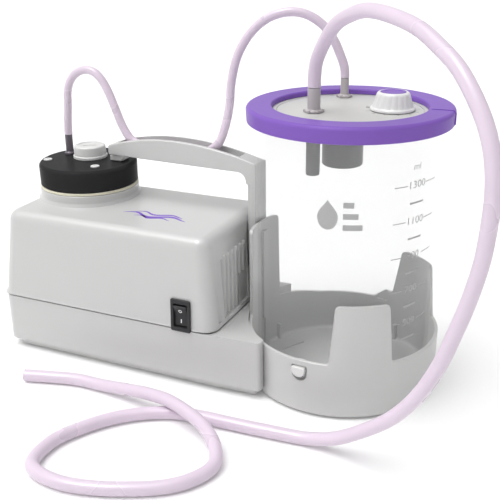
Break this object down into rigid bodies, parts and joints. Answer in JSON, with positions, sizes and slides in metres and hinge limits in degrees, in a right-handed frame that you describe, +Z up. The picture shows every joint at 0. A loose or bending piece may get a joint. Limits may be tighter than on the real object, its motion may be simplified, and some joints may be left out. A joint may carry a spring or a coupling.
{
  "type": "portable suction pump",
  "caption": "Portable diaphragm suction pump with a clear lidded collection jar in a cup, an arched carry handle and two soft hoses.",
  "frame": {"origin": "middle of the footprint, without the hoses, on the surface that the pump stands on", "axes": "+X from the pump head towards the jar, +Y towards the mains inlet at the back, +Z up"},
  "size_m": [0.3425, 0.2493, 0.2465],
  "materials": {
    "housing": "satin moulded ABS",
    "white_plastic": "satin",
    "black_plastic": "satin",
    "nipple_dark": "satin",
    "gasket": "matt",
    "felt": "felt",
    "rubber": "matt",
    "steel": "satin",
    "cast_alloy": "die cast",
    "bronze": "satin",
    "jar_clear": "clear polycarbonate",
    "ring_purple": "gloss",
    "lid_grey": "satin",
    "inner_grey": "satin",
    "hose": "translucent silicone"
  },
  "bodies": {
    "root": {"base_tray": "housing", "rubber_foot_1": "rubber", "rubber_foot_2": "rubber", "rubber_foot_3": "rubber", "rubber_foot_4": "rubber", "cover_screw_1": "steel", "cover_screw_2": "steel", "cover_screw_3": "steel", "cover_screw_4": "steel", "power_inlet": "black_plastic", "motor_cover": "housing", "switch_bezel": "black_plastic", "head_gasket": "gasket", "pump_head_cap": "black_plastic", "cap_screw_1": "white_plastic", "cap_screw_2": "white_plastic", "cap_screw_3": "white_plastic", "pump_nipple": "nipple_dark", "filter_element": "felt", "valve_plate": "cast_alloy", "valve_membrane": "rubber", "diaphragm": "rubber", "pump_frame": "cast_alloy", "front_bearing": "bronze", "rear_bearing": "bronze", "motor_can": "steel", "stator_core": "bronze", "motor_cradle": "rubber", "jar_cup": "housing", "latch_spring": "steel", "carry_handle": "housing", "handle_pedestal": "white_plastic", "handle_screw": "steel", "post_screw_1": "steel", "post_screw_2": "steel", "vacuum_hose": "hose", "patient_hose": "hose"},
    "rocker": {"switch_rocker": "black_plastic"},
    "filter_cap": {"exhaust_filter_cap": "white_plastic"},
    "rotor": {"rotor_shaft": "steel", "rotor_core": "steel", "eccentric": "steel", "cooling_fan": "black_plastic"},
    "rod": {"connecting_rod": "cast_alloy", "diaphragm_screw": "steel"},
    "latch": {"latch_button": "white_plastic"},
    "jar": {"jar": "jar_clear", "lid_seal": "rubber", "lid_disc": "lid_grey", "patient_nipple": "lid_grey", "vacuum_nipple": "lid_grey", "inlet_pipe": "inner_grey", "float_cage": "inner_grey", "regulator_body": "inner_grey"},
    "ring": {"lid_ring": "ring_purple"},
    "knob": {"regulator_knob": "lid_grey", "knob_inlay": "ring_purple"},
    "needle": {"regulator_spindle": "steel"},
    "float": {"float_valve": "white_plastic", "float_seal": "rubber"}
  },
  "joints": [
    {"name": "rocker_tilt", "type": "hinge", "parent": "root", "child": "rocker", "pos_m": [-0.00465, -0.05785, 0.051], "axis": [-1, 0, 0], "range_deg": [0, 20]},
    {"name": "filter_cap_turn", "type": "hinge", "parent": "root", "child": "filter_cap", "pos_m": [-0.1114, 0.0059, 0.13], "axis": [0, 0, 1], "range_deg": [0, 90]},
    {"name": "rotor_spin", "type": "hinge", "parent": "root", "child": "rotor", "pos_m": [-0.06, 0, 0.058], "axis": [1, 0, 0], "continuous": true},
    {"name": "rod_stroke", "type": "slide", "parent": "root", "child": "rod", "axis": [0, 0, 1], "range_m": [-0.0025, 0.0025], "stiffness_N_per_m": 2000, "deforming": ["diaphragm"]},
    {"name": "latch_press", "type": "slide", "parent": "root", "child": "latch", "axis": [0.1132, 0.9936, 0], "range_m": [0, 0.002], "stiffness_N_per_m": 300, "deforming": ["latch_spring"]},
    {"name": "jar_lift", "type": "slide", "parent": "root", "child": "jar", "axis": [0, 0, 1], "range_m": [0, 0.11], "deforming": ["vacuum_hose", "patient_hose"]},
    {"name": "ring_turn", "type": "hinge", "parent": "jar", "child": "ring", "pos_m": [0.0844, 0, 0.178], "axis": [0, 0, 1], "range_deg": [0, 90]},
    {"name": "knob_turn", "type": "hinge", "parent": "jar", "child": "knob", "pos_m": [0.1088, 0.0076, 0.185], "axis": [0, 0, 1], "range_deg": [0, 270]},
    {"name": "needle_lift", "type": "slide", "parent": "jar", "child": "needle", "axis": [0, 0, 1], "range_m": [0, 0.0008]},
    {"name": "float_rise", "type": "slide", "parent": "jar", "child": "float", "axis": [0, 0, 1], "range_m": [0, 0.0142]}
  ],
  "couplings": [
    {"joint": "needle_lift", "follows": "knob_turn", "m_per_rad": 0.00015915}
  ]
}
